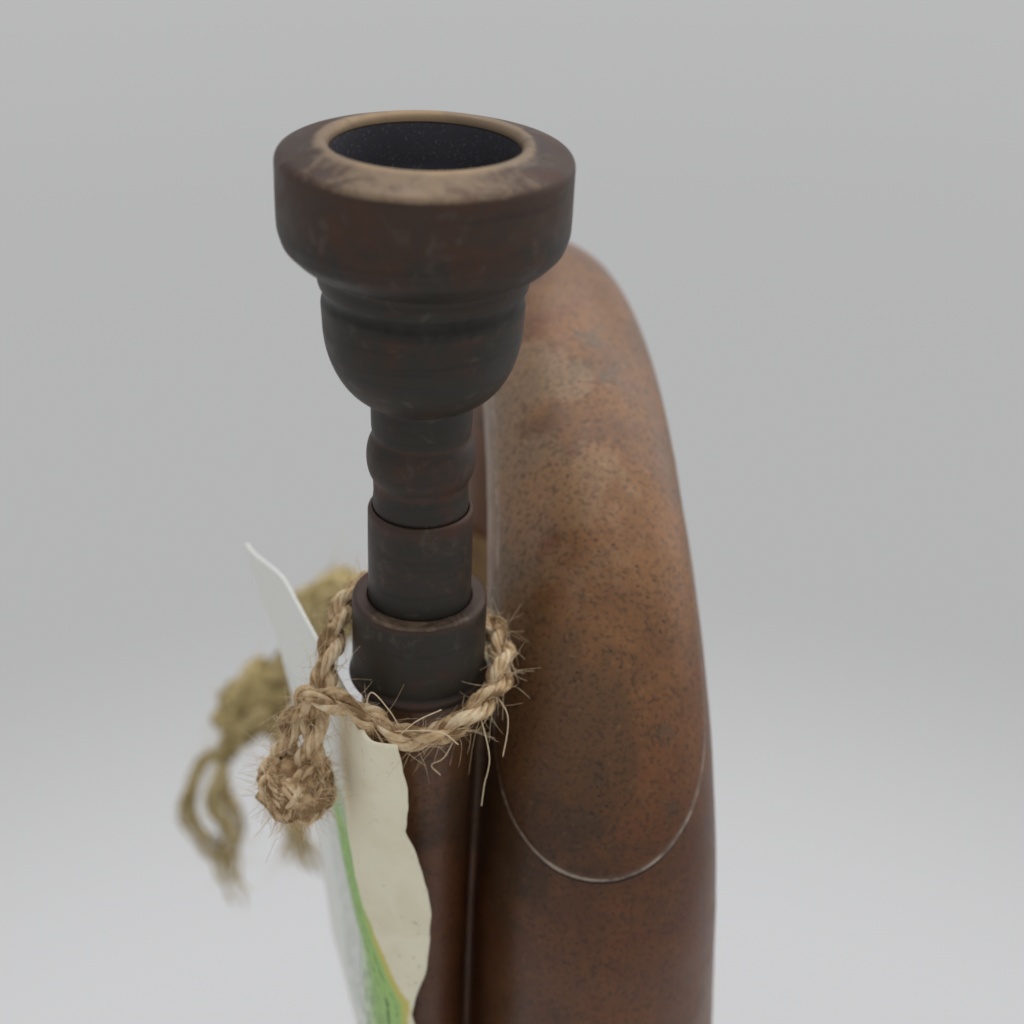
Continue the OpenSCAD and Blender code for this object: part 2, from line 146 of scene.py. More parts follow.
def curve(points, count):
    """A smooth path through a few points, with count points on it."""
    p = np.asarray(points, float)
    p = np.vstack([2 * p[0] - p[1], p, 2 * p[-1] - p[-2]])
    spans = len(p) - 3
    t = np.linspace(0, spans, count)
    i = np.minimum(t.astype(int), spans - 1)
    f = (t - i)[:, None]
    a, b, c, d = p[i], p[i + 1], p[i + 2], p[i + 3]
    return 0.5 * (2 * b + (c - a) * f + (2 * a - 5 * b + 4 * c - d) * f ** 2 + (3 * b - a - 3 * c + d) * f ** 3)


def even(path, count):
    """The same path, with count points at equal steps along it."""
    along = lengths(path)
    at = np.linspace(0, along[-1], count)
    return np.stack([np.interp(at, along, column) for column in path.T], axis=1)


def tangents(path):
    return unit(np.gradient(path, axis=0))


def side_frames(path, towards=None):
    """Two unit directions across a path at each point, turned as little as possible or held towards one way."""
    t = tangents(path)
    if towards is not None:
        s = unit(towards - (t @ towards)[:, None] * t)
        return s, np.cross(t, s)
    s = np.array([1.0, 0.0, 0.0]) if abs(t[0, 0]) < 0.8 else np.array([0.0, 0.0, 1.0])
    rows = []
    for direction in t:
        s = unit(s - (s @ direction) * direction)
        rows.append(s)
    s = np.array(rows)
    return s, np.cross(t, s)


def rings(path, radii, sides, towards=None):
    """Rows of points round a path. radii is one number, one a point, or one a point and side."""
    s, u = side_frames(path, towards)
    a = angles(sides)
    r = np.asarray(radii, float)
    r = np.broadcast_to(r if r.ndim == 2 else r.reshape(-1, 1), (len(path), sides))
    out = np.cos(a)[None, :, None] * s[:, None] + np.sin(a)[None, :, None] * u[:, None]
    return path[:, None] + out * r[..., None]


def added(name, data):
    """A new object in the scene."""
    obj = bpy.data.objects.new(name, data)
    bpy.context.scene.collection.objects.link(obj)
    return obj


class Shape:
    """Collects grids of points into one mesh."""

    def __init__(self):
        self.points, self.quads, self.triangles, self.shades, self.count = [], [], [], [], 0

    def grid(self, rows, closed=False, capped=False, shade=0.5):
        """A skin over rows of points that each go right round, closed on itself or capped at both ends."""
        m, n = rows.shape[:2]
        index = np.arange(m * n).reshape(m, n) + self.count
        below = np.roll(index, -1, axis=0) if closed else index[1:]
        above = index if closed else index[:-1]
        turn = lambda block: np.roll(block, -1, axis=1)
        quads = np.stack([above, turn(above), turn(below), below], axis=-1)
        self.quads.append(quads.reshape(-1, 4))
        self.points.append(rows.reshape(-1, 3))
        self.shades.append(np.full(m * n, shade))
        self.count += m * n
        if capped:
            for ring, flip in ((index[0], True), (index[-1], False)):
                self.points.append(rows[0 if flip else -1].mean(axis=0)[None])
                self.shades.append(np.full(1, shade))
                centre = np.full(n, self.count)
                order = [ring, centre, np.roll(ring, -1)] if flip else [ring, np.roll(ring, -1), centre]
                self.triangles.append(np.stack(order, axis=-1))
                self.count += 1
        return self

    def tube(self, path, radii, sides, shade=0.5):
        return self.grid(rings(path, radii, sides), capped=True, shade=shade)

    def piece(self, name, look, body, slot, stands_for=(), weld=False):
        """Makes the object, and puts it on its body. weld joins points that lie on each other."""
        mesh = bpy.data.meshes.new(name)
        points = np.concatenate(self.points) * MM
        blocks = [np.concatenate(b) for b in (self.quads, self.triangles) if b]
        inside = sum((points[b[:, 0]] * np.cross(points[b[:, 1]], points[b[:, -1]])).sum() for b in blocks)
        inside += sum((points[b[:, 1]] * np.cross(points[b[:, 2]], points[b[:, 3]])).sum()
                      for b in blocks if b.shape[1] == 4)
        if inside < 0:
            blocks = [b[:, ::-1] for b in blocks]
        mesh.vertices.add(len(points))
        mesh.vertices.foreach_set("co", points.astype(np.float32).ravel())
        loops = np.concatenate([b.ravel() for b in blocks])
        sizes = np.concatenate([np.full(len(b), b.shape[1]) for b in blocks])
        mesh.loops.add(len(loops))
        mesh.loops.foreach_set("vertex_index", loops.astype(np.int32))
        mesh.polygons.add(len(sizes))
        starts = np.concatenate([[0], np.cumsum(sizes)[:-1]])
        mesh.polygons.foreach_set("loop_start", starts.astype(np.int32))
        mesh.update(calc_edges=True)
        mesh.validate()
        mesh.polygons.foreach_set("use_smooth", np.ones(len(mesh.polygons), bool))
        tint = mesh.attributes.new("tint", "FLOAT", "POINT")
        tint.data.foreach_set("value", np.concatenate(self.shades).astype(np.float32))
        if weld:
            edit = bmesh.new()
            edit.from_mesh(mesh)
            bmesh.ops.remove_doubles(edit, verts=edit.verts, dist=2e-6)
            edit.to_mesh(mesh)
            edit.free()
        obj = added(name, mesh)
        mesh.materials.append(look)
        if body:
            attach(obj, body)
        if stands_for:
            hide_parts(*stands_for)
        return obj

    @staticmethod
    def sheet(surface, thickness, *piece, **fields):
        """A thin solid sheet over a grid of points. fields are numbers for its points, for its material."""
        m, n = surface.shape[:2]
        normal = unit(np.cross(np.gradient(surface, axis=0), np.gradient(surface, axis=1)))
        shape = Shape()
        shape.points = [(surface + normal * half).reshape(-1, 3) for half in (thickness / 2, -thickness / 2)]
        shape.shades = [np.full(2 * m * n, 0.5)]
        front = np.arange(m * n).reshape(m, n)
        back = front + m * n
        for side, flip in ((front, False), (back, True)):
            quads = np.stack([side[:-1, :-1], side[:-1, 1:], side[1:, 1:], side[1:, :-1]], axis=-1).reshape(-1, 4)
            shape.quads.append(quads[:, ::-1] if flip else quads)
        rim = np.concatenate([front[0, :-1], front[:-1, -1], front[-1, :0:-1], front[:0:-1, 0]])
        after = np.roll(rim, -1)
        shape.quads.append(np.stack([after, rim, rim + m * n, after + m * n], axis=-1))
        obj = shape.piece(*piece)
        for key, values in fields.items():
            field = obj.data.attributes.new(key, "FLOAT", "POINT")
            field.data.foreach_set("value", np.tile(values.reshape(-1), 2).astype(np.float32))
        return obj


def worn_profile(corners, step, passes):
    """A closed outline with its corners rounded by wear."""
    ring = np.vstack([corners, corners[:1]]).astype(float)
    out = even(ring, int(lengths(ring)[-1] / step) + 1)[:-1]
    for _ in range(passes):
        out = out / 2 + (np.roll(out, 1, axis=0) + np.roll(out, -1, axis=0)) / 4
    return out


def turned(profile, sides):
    """Rows of points for a closed outline (radius, height) spun round the Z axis."""
    a = angles(sides)
    r, z = profile[:, :1], profile[:, 1:]
    return np.stack([r * np.cos(a), r * np.sin(a), np.broadcast_to(z, (len(profile), sides))], axis=-1)


def arc(cx, cz, rx, rz, start, end, count):
    """Points on part of an ellipse, from one angle in degrees to another."""
    a = np.radians(np.linspace(start, end, count))
    return np.stack([cx + rx * np.cos(a), cz + rz * np.sin(a)], axis=1)


# ---- material tools
def rgb(r, g, b):
    """A display colour, 0 to 255, as the linear colour that the nodes take."""
    linear = [c / 255 / 12.92 if c <= 10 else ((c / 255 + 0.055) / 1.055) ** 2.4 for c in (r, g, b)]
    return (*linear, 1.0)


class Look:
    """A material's nodes, with one short method for each kind that these looks need."""

    def __init__(self, name):
        self.material = bpy.data.materials.new(name)
        self.material.use_nodes = True
        self.tree = self.material.node_tree
        self.tree.nodes.clear()
        self.place = self.node("TexCoord", {})["Object"]

    def node(self, kind, inputs, **settings):
        """A shader node's outputs. Each input, by name or number, is a value or another node's output."""
        node = self.tree.nodes.new("ShaderNode" + kind)
        for key, value in settings.items():
            setattr(node, key, value)
        for key, value in inputs.items():
            if isinstance(value, bpy.types.NodeSocket):
                self.tree.links.new(value, node.inputs[key])
            elif value is not None:
                node.inputs[key].default_value = value
        return node.outputs

    def noise(self, size, detail, rough, stretch=None, warp=0.0):
        """Noise from 0 to 1 whose features are about size millimetres across."""
        place = self.place
        if stretch:
            place = self.node("VectorMath", {0: place, 1: stretch}, operation="MULTIPLY")[0]
        return self.node("TexNoise", {"Vector": place, "Scale": 1 / (size * MM), "Detail": detail,
                                      "Roughness": rough, "Distortion": warp})[0]

    def cells(self, size):
        """Distance to scattered points about size millimetres apart."""
        return self.node("TexVoronoi", {"Vector": self.place, "Scale": 1 / (size * MM)})["Distance"]

    def math(self, operation, a, b=0.0):
        return self.node("Math", {0: a, 1: b}, operation=operation)[0]

    def plus(self, a, b):
        return self.math("ADD", a, b)

    def times(self, a, *more):
        for b in more:
            a = self.math("MULTIPLY", a, b)
        return a

    def between(self, value, low, high, out_low=0.0, out_high=1.0):
        """value taken smoothly from low..high to out_low..out_high."""
        inputs = dict(enumerate((value, low, high, out_low, out_high)))
        return self.node("MapRange", inputs, interpolation_type="SMOOTHSTEP")[0]

    def patches(self, size, detail, rough, low, high, **more):
        """A mask of 1 in ragged patches about size across."""
        return self.between(self.noise(size, detail, rough, **more), low, high)

    def mix(self, share, a, b, blend="MIX"):
        return self.node("Mix", {"Factor": share, "A": a, "B": b}, data_type="RGBA", blend_type=blend)["Result"]

    def stain(self, colour, where, strength, tint):
        """colour with a tint laid over it where the mask is high."""
        return self.mix(self.times(where, strength), colour, tint)

    def spot(self, centre, radius, ragged):
        """1 inside a ragged blot round a place in the frame, 0 outside."""
        centre = [c * MM for c in centre]
        reach = self.node("VectorMath", {0: self.place, 1: centre}, operation="DISTANCE")["Value"]
        edge = self.between(self.noise(radius * 0.8, 5, 0.65), 0.25, 0.75, -ragged, ragged)
        share = self.math("DIVIDE", reach, radius * MM)
        return self.between(self.plus(share, edge), 0.75, 1.15, 1.0, 0.0)

    def attribute(self, name):
        return self.node("Attribute", {}, attribute_name=name)["Fac"]

    def bump(self, height, depth, strength=1.0, under=None):
        return self.node("Bump", {"Strength": strength, "Distance": depth * MM, "Height": height, "Normal": under})[0]

    def finish(self, colour, roughness, metallic=0.0, normal=None, **extra):
        inputs = {"Base Color": colour, "Roughness": roughness, "Metallic": metallic, "Normal": normal}
        inputs.update({key.replace("_", " "): value for key, value in extra.items()})
        self.node("OutputMaterial", {"Surface": self.node("BsdfPrincipled", inputs)[0]})
        return self.material


# ---- the bows' shape
def bow_points(turns):
    """The middle of the upper bow, at angles along it from the bell branch."""
    t = np.clip((np.asarray(turns, float) / 180 - 0.09) / 0.91, 0, None)
    x = FAR_X * (3 * t ** 2 - 2 * t ** 3)
    a = np.radians(turns)
    return np.stack([x, COIL_R - COIL_R * np.cos(a), BOW_Z + COIL_R * np.sin(a)], axis=-1)


def bow_radius(turns):
    return BOW_FAR_R + (BOW_NEAR_R - BOW_FAR_R) * (1 - np.asarray(turns, float) / 180) ** 2


def on_bow(turns, rounds, lift=0.0):
    """Points on the upper bow's skin: rounds is the angle from its outer side, positive towards +X."""
    turns, rounds = np.asarray(turns, float), np.asarray(rounds, float)
    c = bow_points(turns)
    t = unit(bow_points(turns + 0.5) - bow_points(turns - 0.5))
    s = unit(np.array([1.0, 0, 0]) - t[..., :1] * t)
    u = np.cross(t, s)
    b = np.radians(rounds)[..., None]
    r = (bow_radius(turns) + lift)[..., None]
    return c + r * (np.sin(b) * s - np.cos(b) * u)


# ---- looks
def bow_spots(look, ragged, places, other=0.0):
    """The highest of another mask and ragged blots on the upper bow, each at (turn, round, radius)."""
    for turn, around, radius in places:
        other = look.math("MAXIMUM", other, look.spot(on_bow(turn, around), radius, ragged))
    return other


def copper_look():
    """Old copper: brown oxide over worn metal, with dark blots, pits and pale dust in its hollows, and painted light:
    a paler top, a darker lower part and a patch of painted sheen.
    """
    look = Look("copper_patina")
    broad = look.noise(26, 5, 0.55, warp=0.4)
    mottle = look.noise(6, 6, 0.64, warp=0.6)
    grain = look.noise(0.55, 4, 0.7)
    streaks = look.noise(2.2, 4, 0.6, stretch=(1, 1, 0.07))
    colour = look.mix(look.between(broad, 0.36, 0.64), rgb(104, 74, 57), rgb(123, 87, 66))
    colour = look.stain(colour, look.between(mottle, 0.4, 0.64), 0.5, rgb(138, 101, 74))
    colour = look.stain(colour, look.patches(13, 4, 0.6, 0.5, 0.7, warp=1.0), 0.55, rgb(112, 66, 52))
    colour = look.stain(colour, look.between(streaks, 0.45, 0.7), 0.3, rgb(84, 61, 48))
    shade = look.patches(16, 6, 0.66, 0.56, 0.7, warp=0.8)
    shade = bow_spots(look, 0.5, ((25, -38, 12), (17, -46, 10), (37, -50, 9)), shade)
    colour = look.stain(colour, shade, 0.62, rgb(72, 64, 56))
    # Painted sheen: pale greyish blots on the left side of the bow stand in for the grazing reflection of the bright
    # room
    colour = look.stain(colour, bow_spots(look, 0.6, ((52, -42, 12), (66, -56, 11))), 0.45, rgb(138, 118, 106))
    colour = look.stain(colour, bow_spots(look, 0.6, ((30, 12, 15), (48, 16, 12))), 0.2, rgb(150, 100, 48))
    blue = bow_spots(look, 0.7, ((26.5, 30, 1.2), (72, 12, 1.8), (66, 18, 1.5), (19, 33, 1.3)))
    colour = look.stain(colour, blue, 0.5, rgb(84, 80, 80))
    ragged = look.between(look.noise(0.5, 3, 0.6), 0.3, 0.7, -0.12, 0.12)
    fine = look.between(look.plus(look.cells(1.0), ragged), 0.08, 0.2, 1.0, 0.0)
    crowd = look.patches(8, 5, 0.66, 0.44, 0.6)
    pits = look.times(fine, crowd)
    colour = look.stain(colour, pits, 0.9, rgb(48, 36, 29))
    colour = look.stain(colour, look.between(grain, 0.5, 0.62), 0.62, rgb(62, 44, 34))
    colour = look.stain(colour, look.patches(0.9, 2, 0.5, 0.64, 0.76), 0.22, rgb(176, 144, 118))
    # Painted light: paler and greyer over the top of the coil, as if lit from above, and darker and redder lower down
    height = look.node("SeparateXYZ", {0: look.place})["Z"]
    lit_from_above = look.between(look.plus(height, look.times(broad, 0.012)), 0.344, 0.384)
    colour = look.mix(1.0, colour, look.mix(lit_from_above, (0.74, 0.52, 0.27, 1), (1.34, 1.32, 1.02, 1)), "MULTIPLY")
    roughness = look.between(mottle, 0.3, 0.7, 0.4, 0.54)
    roughness = look.plus(roughness, look.times(shade, 0.12))
    relief = look.math("SUBTRACT", look.times(grain, 0.5), look.times(pits, 1.2))
    normal = look.bump(relief, 0.05, 0.6, look.bump(mottle, 0.12, 0.5))
    return look.finish(colour, roughness, 0.35, normal, Coat_Weight=0.3, Coat_Roughness=0.3)


def dark_brass_look():
    """Brass under a nearly black skin, rubbed back to metal where lips and fingers touch it.
    A piece's tint runs from 0 in its grooves to 1 where it is worn bright; on the turned pieces the worn parts are
    also raised at the front and back as a painted highlight."""
    look = Look("dark_brass")
    broad = look.noise(8, 5, 0.6, warp=0.7)
    mottle = look.noise(2.4, 5, 0.66, warp=0.5)
    fine = look.noise(0.5, 4, 0.65)
    turned_lines = look.noise(0.9, 3, 0.6, stretch=(0.05, 0.05, 1))
    ragged = look.between(mottle, 0.25, 0.75, -0.06, 0.06)
    wear = look.plus(look.attribute("tint"), ragged)
    colour = look.mix(look.between(wear, 0.05, 0.2), rgb(34, 32, 30), rgb(54, 50, 44))
    colour = look.mix(look.between(wear, 0.36, 0.52), colour, rgb(72, 54, 45))
    red = look.times(look.between(broad, 0.48, 0.66), look.between(wear, 0.2, 0.42))
    colour = look.stain(colour, red, 0.75, rgb(84, 54, 41))
    grey = look.times(look.between(mottle, 0.54, 0.7), look.between(wear, 0.12, 0.3))
    colour = look.stain(colour, grey, 0.4, rgb(92, 88, 80))
    lines = look.times(look.between(turned_lines, 0.52, 0.7), 0.35)
    colour = look.mix(lines, colour, rgb(38, 34, 31))
    colour = look.mix(look.between(wear, 0.7, 0.86), colour, rgb(138, 117, 94))
    bright = look.times(look.between(wear, 0.84, 0.97), look.between(broad, 0.42, 0.6))
    colour = look.stain(colour, bright, 0.7, rgb(172, 146, 112))
    # Inside the mouthpiece's cup the colour is grey, with pale specks that are painted glints
    inside = look.between(look.attribute("tint"), 0.0, 0.02, 1.0, 0.0)
    colour = look.mix(inside, colour, rgb(80, 78, 84))
    colour = look.stain(colour, look.times(look.patches(0.3, 3, 0.6, 0.56, 0.7), inside), 0.6, rgb(132, 134, 142))
    roughness = look.between(broad, 0.3, 0.7, 0.44, 0.6)
    normal = look.bump(fine, 0.03, 0.6, look.bump(turned_lines, 0.03, 0.5))
    return look.finish(colour, roughness, 0.4, normal)


def brass_look():
    """Dull brass fittings, with darker patches at random."""
    look = Look("aged_brass")
    broad = look.noise(6, 5, 0.6, warp=0.6)
    fine = look.noise(0.7, 4, 0.6)
    colour = look.mix(look.between(broad, 0.25, 0.75), rgb(106, 82, 54), rgb(140, 112, 72))
    shade = look.patches(4, 6, 0.7, 0.46, 0.72, warp=1.0)
    colour = look.stain(colour, shade, 0.25, rgb(76, 60, 44))
    colour = look.stain(colour, look.patches(1.8, 4, 0.6, 0.66, 0.76), 0.3, rgb(112, 124, 96))
    colour = look.stain(colour, look.patches(1.1, 3, 0.6, 0.6, 0.74), 0.4, rgb(178, 150, 104))
    roughness = look.between(broad, 0.3, 0.7, 0.36, 0.54)
    return look.finish(colour, roughness, 0.6, look.bump(fine, 0.03, 0.5))


def solder_and_shadow_look():
    """The dull grey line of solder round the guard, and the dark lines of painted shadow beside it."""
    look = Look("old_solder_and_painted_shadow")
    mottle = look.noise(2.5, 4, 0.6)
    colour = look.mix(look.between(mottle, 0.4, 0.62), rgb(118, 98, 84), rgb(176, 158, 140))
    # Painted shadow: where the tint is low, on the two lines beside the solder, the colour is dark brown
    colour = look.mix(look.between(look.attribute("tint"), 0.3, 0.1), colour, rgb(40, 28, 22))
    return look.finish(colour, 0.55, 0.3, look.bump(look.noise(0.6, 3, 0.6), 0.05, 0.6))


def fibre_look(name, dark, middle, light, size):
    """Dry plant or cotton fibre. The tint of each strand runs from dark to light."""
    look = Look(name)
    tone = look.plus(look.attribute("tint"), look.between(look.noise(size, 4, 0.6), 0.25, 0.75, -0.3, 0.3))
    colour = look.mix(look.between(tone, 0.1, 0.5), dark, middle)
    colour = look.mix(look.between(tone, 0.45, 0.95), colour, light)
    normal = look.bump(look.noise(size * 0.12, 3, 0.6), 0.08, 0.8)
    return look.finish(colour, 0.9, 0.0, normal, Specular_IOR_Level=0.2)


def card_look():
    """Cream card with a printed green edge and generic rows of fine lines; past the printed border it is painted a
    cooler white, as painted light on its far face. The attribute "across" is the distance in millimetres past the
    printed border, "down" the distance below the tag's top."""
    look = Look("tag_card")
    across, down = look.attribute("across"), look.attribute("down")
    stain = look.noise(7, 5, 0.6, warp=0.5)
    cream = look.mix(look.between(stain, 0.4, 0.66), rgb(250, 244, 217), rgb(243, 235, 205))
    # Painted light: past the printed border the card is painted a cooler white than the cream margin, for the
    # different light on its far face
    lit_white = rgb(245, 246, 239)
    wobble = look.between(look.noise(3, 4, 0.6), 0.2, 0.8, -0.35, 0.35)
    place = look.plus(across, wobble)
    fade = look.times(look.between(place, 13.0, 8.0), look.between(down, 11.5, 21))
    printed = look.mix(fade, lit_white, rgb(176, 212, 134))
    band = look.times(look.between(place, -0.5, 0.3), look.between(place, 0.9, 0.3))
    low_down = look.times(look.between(down, 24, 32), look.between(down, 46, 40))
    stripe = look.math("SINE", look.times(across, 6.0))
    gaps = look.patches(1.1, 3, 0.6, 0.44, 0.54, stretch=(1, 1, 0.6))
    block = look.times(look.between(down, 14, 15), look.between(down, 62, 61))
    inside = look.times(look.between(place, 0.9, 1.6), look.between(place, 29, 27), block)
    lines = look.times(look.between(stripe, 0.35, 0.8), gaps, inside)
    printed = look.stain(printed, lines, 0.75, rgb(86, 104, 88))
    colour = look.mix(look.between(place, -0.15, 0.15), cream, printed)
    colour = look.stain(colour, look.times(band, low_down), 0.8, rgb(232, 208, 118))
    colour = look.stain(colour, look.patches(0.8, 2, 0.5, 0.68, 0.75), 0.35, rgb(150, 138, 112))
    normal = look.bump(look.noise(0.35, 3, 0.6), 0.02, 0.4)
    return look.finish(colour, 0.8, 0.0, normal, Specular_IOR_Level=0.3)


COPPER = copper_look()
DARK_BRASS = dark_brass_look()
BRASS = brass_look()
SOLDER_AND_SHADOW = solder_and_shadow_look()
JUTE = fibre_look("jute", rgb(146, 117, 84), rgb(212, 182, 141), rgb(240, 219, 184), 1.6)
OLIVE = fibre_look("olive_cord", rgb(156, 138, 92), rgb(206, 187, 134), rgb(228, 211, 164), 3.0)
CARD = card_look()


# ---- bell, bows and tubes
def tube_skin(node, path, radii, sides, dents, seed, thickness=SHEET):
    """A hollow tube with slight dents that fade out at its ends."""
    axis = np.array([1.0, 0, 0])
    skin = rings(path, radii, sides, axis)
    k = np.arange(len(path))
    fade = smooth(np.minimum(k, len(path) - 1 - k) / 12)
    waves = noise_at(skin, 17, seed) * dents + noise_at(skin, 6, seed + 1) * dents * 0.3
    outer = rings(path, radii[:, None] + waves * fade[:, None], sides, axis)
    inner = rings(path, radii - thickness, sides, axis)
    rows = np.concatenate([outer, inner[::-1]])
    Shape().grid(rows, closed=True).piece(node + "_skin", COPPER, "bugle", "copper", [node])


def upright(x, y, zs):
    return np.stack([zs * 0 + x, zs * 0 + y, zs], axis=1)


def upper_bow():
    near = np.linspace(BELL_SEAM_Z, BOW_Z, 24, endpoint=False)
    turns = np.linspace(0, 180, 220)
    far = np.linspace(BOW_Z, middle_of("upper_bow_ferrule")[2] + 0.1, 12)[1:]
    path = np.vstack([upright(0, 0, near), bow_points(turns), upright(FAR_X, FAR_Y, far)])
    near_r = BRANCH_R + (BOW_NEAR_R - BRANCH_R) * (near - BELL_SEAM_Z) / (BOW_Z - BELL_SEAM_Z)
    radii = np.concatenate([near_r, bow_radius(turns), far * 0 + BOW_FAR_R])
    tube_skin("upper_bow", path, radii, 144, 0.16, 1)


def return_tube():
    low, high = return_low[2], return_high[2]
    zs = np.linspace(low + 0.05, high - 0.05, 120)
    rise = (zs - low - SLEEVE) / (high - low - 2 * SLEEVE)
    share = smooth(rise) * 0.4 + 0.6 * np.clip(rise, 0, 1)
    radii = RETURN_LOW_R + (BOW_FAR_R - RETURN_LOW_R) * share
    tube_skin("return_tube", upright(FAR_X, FAR_Y, zs), radii, 96, 0.08, 5)


def lower_bow():
    """The tighter bow at the bottom, from the leaning mouthpipe to the return tube."""
    pipe_end = COLLAR_TOP - PIPE_UP * ((COLLAR_TOP[2] - LOW_BOW_Z) / PIPE_UP[2])
    radius = (FAR_Y - pipe_end[1]) / 2
    t = np.linspace(0, 1, 150)
    lean = -PIPE_UP[0] / PIPE_UP[2] * radius * math.pi
    x = (1 - smooth(t)) * pipe_end[0] + (t ** 3 - 2 * t ** 2 + t) * lean + smooth(t) * FAR_X
    a = np.pi * t
    path = np.stack([x, pipe_end[1] + radius - radius * np.cos(a), LOW_BOW_Z - radius * np.sin(a)], axis=1)
    straight = np.linspace(1, SLEEVE - 0.1, 6)
    start = pipe_end + PIPE_UP * straight[::-1, None]
    path = np.vstack([start, path, upright(FAR_X, FAR_Y, LOW_BOW_Z + straight)])
    radii = np.pad(PIPE_LOW_R + (RETURN_LOW_R - PIPE_LOW_R) * t, len(straight), mode="edge")
    tube_skin("lower_bow", path, radii, 96, 0.08, 7)


def bell_radius(z):
    return BRANCH_R + BELL_TAPER * (BELL_SEAM_Z - z) + FLARE_ADD * np.exp(-z / FLARE_LENGTH)


def bell():
    """The bell branch and flare, its sheet rolled outwards round a wire at the mouth and worn flat underneath."""
    zs = RIM_Z + (BELL_SEAM_Z - RIM_Z) * np.linspace(1, 0, 170) ** 1.8
    outer = np.stack([bell_radius(zs), zs], axis=1)
    slope = BELL_TAPER + FLARE_ADD / FLARE_LENGTH * np.exp(-zs / FLARE_LENGTH)
    inner = np.stack([bell_radius(zs) - SHEET * np.sqrt(1 + slope ** 2), zs], axis=1)
    roll = arc(bell_radius(RIM_Z), RIM_Z, RIM_R, RIM_R, 84, -208, 30)
    roll[:, 1] = np.maximum(roll[:, 1], 0)
    outer = outer[outer[:, 1] > RIM_Z + RIM_R * 0.9]
    inner = inner[inner[:, 1] > RIM_Z + RIM_R * 0.6]
    profile = np.vstack([outer, roll, inner[::-1]])
    rows = turned(profile, 200)
    fade = smooth((profile[:, 1] - 4) / 20) * smooth((BELL_SEAM_Z - profile[:, 1]) / 12)
    rows = swell(rows, noise_at(rows, 24, 9) * 0.22 * fade[:, None])
    Shape().grid(rows, closed=True).piece("bell_skin", COPPER, "bugle", "copper", ["bell"])


def mouthpipe():
    """The thin pipe under the collar, which widens below a depth of 60."""
    top, widens, low = -1.25, -60, -(COLLAR_TOP[2] - LOW_BOW_Z) / PIPE_UP[2] + SLEEVE + 0.05
    zs = np.linspace(low, top, 200)
    radii = PIPE_R + (PIPE_LOW_R - PIPE_R) * np.clip((widens - zs) / (widens - low - SLEEVE), 0, 1)
    tube_skin("mouthpipe", on_pipe(upright(0, 0, zs)), radii, 96, 0.05, 11, 0.5)


def pipe_seam():
    """The solder that fills the valley between the mouthpipe and the bell branch."""
    zs = np.linspace(SEAM_LOW_Z, SEAM_HIGH_Z, 150)
    pipe_x = COLLAR_TOP[0] - (COLLAR_TOP[2] - zs) * PIPE_UP[0] / PIPE_UP[2]
    turns = np.degrees(np.arcsin(np.clip((zs - BOW_Z) / COIL_R, 0, 1)))
    below = BOW_NEAR_R + (BRANCH_R - BOW_NEAR_R) * (BOW_Z - zs) / (BOW_Z - BELL_SEAM_Z)
    branch = np.where(zs < BELL_SEAM_Z, bell_radius(zs), np.where(zs < BOW_Z, below, bow_radius(turns)))
    gap = -pipe_x - branch - PIPE_R
    middle = upright(0, 0, zs)
    middle[:, 0] = -branch - gap / 2
    middle[:, 1] = 0.8 + 0.5 * bow_points(turns)[:, 1]
    a = angles(20)
    end = smooth(np.minimum(zs - SEAM_LOW_Z + 1, SEAM_HIGH_Z + 1 - zs) / 4)[:, None]
    half = (gap / 2 + 1.1)[:, None] * end + 0.08 * noise_at(middle, 4, 31)[:, None]
    depth = (1.9 + 0.25 * noise_at(middle, 6, 32) + middle[:, 1] * 0.4)[:, None] * end
    rows = middle[:, None] + np.stack([half * np.cos(a), depth * np.sin(a), 0 * half * a], axis=-1)
    Shape().grid(rows, capped=True).piece("mouthpipe_seam", COPPER, "bugle", "copper", ["mouthpipe_saddles"])


